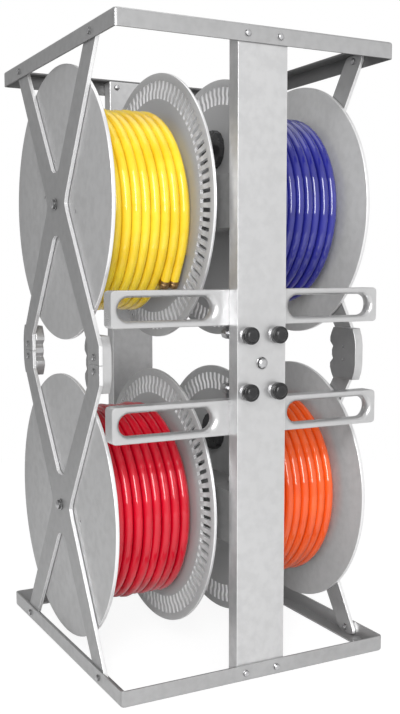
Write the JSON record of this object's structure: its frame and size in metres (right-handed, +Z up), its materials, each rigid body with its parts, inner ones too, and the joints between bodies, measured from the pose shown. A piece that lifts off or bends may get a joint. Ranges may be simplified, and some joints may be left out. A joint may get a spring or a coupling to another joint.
{
  "type": "fire hose reel",
  "caption": "Free-standing rack with hose reels on through axles, slotted hose guides and turn knobs that lock the slotted flanges.",
  "frame": {"origin": "middle of the overall width and depth, on the floor", "axes": "+Z up, -Y to the front where the upright with the knobs and the hose guides is, +X to the right of someone who faces the front"},
  "size_m": [0.47, 0.513, 0.96],
  "materials": {
    "satin": "satin brushed",
    "steel": "bright",
    "black": "matt black",
    "brass": "dull",
    "yellow": "glossy yellow hose",
    "blue": "glossy blue hose",
    "red": "glossy red hose",
    "orange": "glossy orange hose"
  },
  "bodies": {
    "frame": {"top_ring": "satin", "bottom_ring": "satin", "front_upright": "satin", "rear_upright": "satin", "x_frame_upper_left": "satin", "x_frame_lower_left": "satin", "splice_plate_front_left": "satin", "splice_plate_rear_left": "satin", "x_frame_upper_right": "satin", "x_frame_lower_right": "satin", "splice_plate_front_right": "satin", "splice_plate_rear_right": "satin", "hose_guide_upper_left": "satin", "hose_guide_lower_left": "satin", "hose_guide_upper_right": "satin", "hose_guide_lower_right": "satin", "axle_beam_upper": "satin", "axle_upper": "steel", "axle_nut_upper_left": "steel", "axle_nut_upper_right": "steel", "axle_beam_lower": "satin", "axle_lower": "steel", "axle_nut_lower_left": "steel", "axle_nut_lower_right": "steel", "centre_bolt": "steel", "drag_block_upper": "black", "drag_block_lower": "black"},
    "yellow_reel": {"yellow_outer_flange": "satin", "yellow_slotted_flange": "satin", "yellow_drum": "satin", "yellow_hose_core": "yellow", "yellow_hose_turns_a": "yellow", "yellow_hose_turns_b": "yellow", "yellow_ferrule_a": "brass", "yellow_ferrule_b": "brass"},
    "yellow_lock": {"yellow_lock_rod": "steel", "yellow_lock_knob": "black"},
    "blue_reel": {"blue_outer_flange": "satin", "blue_slotted_flange": "satin", "blue_drum": "satin", "blue_hose_core": "blue", "blue_hose_turns": "blue"},
    "blue_lock": {"blue_lock_rod": "steel", "blue_lock_knob": "black"},
    "red_reel": {"red_outer_flange": "satin", "red_slotted_flange": "satin", "red_drum": "satin", "red_hose_core": "red", "red_hose_turns": "red"},
    "red_lock": {"red_lock_rod": "steel", "red_lock_knob": "black"},
    "orange_reel": {"orange_outer_flange": "satin", "orange_slotted_flange": "satin", "orange_drum": "satin", "orange_hose_core": "orange", "orange_hose_turns": "orange"},
    "orange_lock": {"orange_lock_rod": "steel", "orange_lock_knob": "black"}
  },
  "joints": [
    {"name": "yellow_reel_spin", "type": "hinge", "parent": "frame", "child": "yellow_reel", "pos_m": [0, 0.0075, 0.718], "axis": [1, 0, 0], "continuous": true},
    {"name": "blue_reel_spin", "type": "hinge", "parent": "frame", "child": "blue_reel", "pos_m": [0, 0.0075, 0.718], "axis": [1, 0, 0], "continuous": true},
    {"name": "red_reel_spin", "type": "hinge", "parent": "frame", "child": "red_reel", "pos_m": [0, 0.0075, 0.242], "axis": [1, 0, 0], "continuous": true},
    {"name": "orange_reel_spin", "type": "hinge", "parent": "frame", "child": "orange_reel", "pos_m": [0, 0.0075, 0.242], "axis": [1, 0, 0], "continuous": true},
    {"name": "yellow_lock_turn", "type": "hinge", "parent": "frame", "child": "yellow_lock", "pos_m": [-0.0245, 0.0075, 0.5215], "axis": [0, -1, 0], "range_deg": [0, 17]},
    {"name": "blue_lock_turn", "type": "hinge", "parent": "frame", "child": "blue_lock", "pos_m": [0.0245, 0.0075, 0.5215], "axis": [0, 1, 0], "range_deg": [0, 17]},
    {"name": "red_lock_turn", "type": "hinge", "parent": "frame", "child": "red_lock", "pos_m": [-0.0245, 0.0075, 0.4385], "axis": [0, 1, 0], "range_deg": [0, 17]},
    {"name": "orange_lock_turn", "type": "hinge", "parent": "frame", "child": "orange_lock", "pos_m": [0.0245, 0.0075, 0.4385], "axis": [0, -1, 0], "range_deg": [0, 17]}
  ]
}
